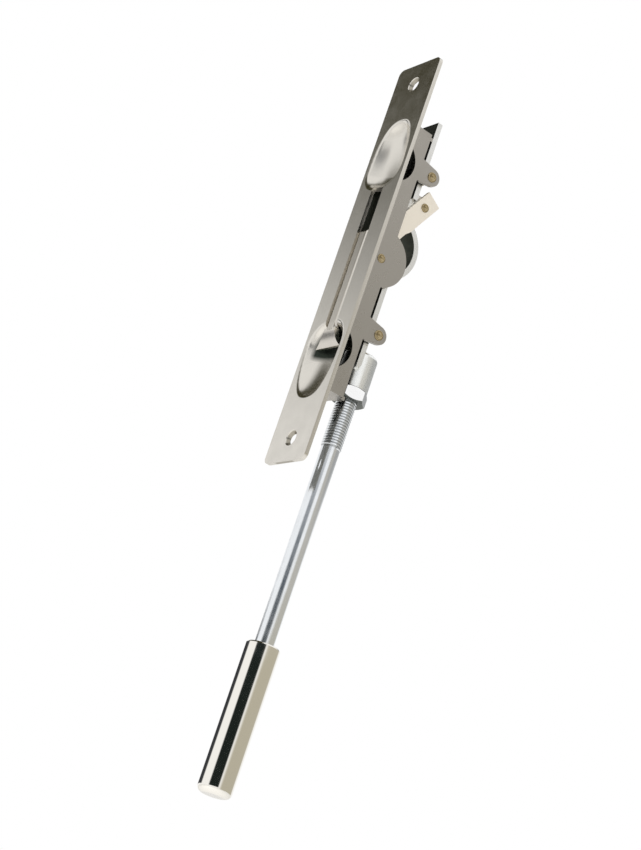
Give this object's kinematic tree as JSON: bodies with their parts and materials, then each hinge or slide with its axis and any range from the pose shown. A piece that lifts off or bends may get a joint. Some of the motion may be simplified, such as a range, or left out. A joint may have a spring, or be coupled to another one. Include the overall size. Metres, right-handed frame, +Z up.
{
  "type": "flush bolt",
  "caption": "Flush bolt with a slotted face plate between finger scoops, a flip lever, a linkage behind the plate and a long rod that ends in a round bolt.",
  "frame": {"origin": "centre of the face plate's back face, where it lies on the door, midway between its two screw holes", "axes": "+X across the plate to the right as seen from in front, +Y into the door, +Z up, with the bolt pointing down (-Z)"},
  "size_m": [0.0254, 0.0246, 0.2913],
  "materials": {
    "satin_plate": "satin nickel plating",
    "satin_lever": "satin nickel plating",
    "housing_steel": "plated sheet steel, satin",
    "pin_steel": "plated steel, smooth",
    "link_steel": "plated sheet steel, satin",
    "slide_steel": "plated sheet steel, satin",
    "zinc_steel": "bright zinc plating",
    "tip_nickel": "polished nickel plating"
  },
  "bodies": {
    "case": {"face_plate": "satin_plate", "housing": "housing_steel", "upper_guide_bar": "housing_steel", "lower_guide_bar": "housing_steel", "guide_rivets": "pin_steel", "pivot_pin": "pin_steel", "left_pivot_sleeve": "pin_steel", "right_pivot_sleeve": "pin_steel", "wave_washers": "pin_steel"},
    "lever": {"flip_lever": "satin_lever", "crank_pin": "pin_steel", "left_crank_spacer": "pin_steel", "right_crank_spacer": "pin_steel"},
    "link": {"left_link": "link_steel", "right_link": "link_steel", "slide_pin": "pin_steel"},
    "slide": {"slide_bar": "slide_steel", "pin_lug": "slide_steel", "coupling_barrel": "zinc_steel"},
    "nut": {"lock_nut": "zinc_steel"},
    "rod": {"extension_rod": "zinc_steel", "bolt_tip": "tip_nickel"}
  },
  "joints": [
    {"name": "lever_flip", "type": "hinge", "parent": "case", "child": "lever", "pos_m": [0, 0.0043, 0], "axis": [-1, 0, 0], "range_deg": [0, 165]},
    {"name": "link_swing", "type": "hinge", "parent": "lever", "child": "link", "pos_m": [0, 0.00555, 0.00953], "axis": [-1, 0, 0], "range_deg": [-165, 0]},
    {"name": "bolt_slide", "type": "slide", "parent": "case", "child": "slide", "axis": [0, 0, -1], "range_m": [0, 0.01905]},
    {"name": "nut_turn", "type": "hinge", "parent": "slide", "child": "nut", "pos_m": [0, 0.01586, -0.05078], "axis": [0, 0, 1], "continuous": true},
    {"name": "rod_adjust", "type": "slide", "parent": "slide", "child": "rod", "axis": [0, 0, -1], "range_m": [-0.003, 0.003]}
  ],
  "couplings": [
    {"joint": "link_swing", "follows": "lever_flip", "ratio": -1},
    {"joint": "bolt_slide", "follows": "lever_flip", "m_per_rad": 0.006614}
  ]
}
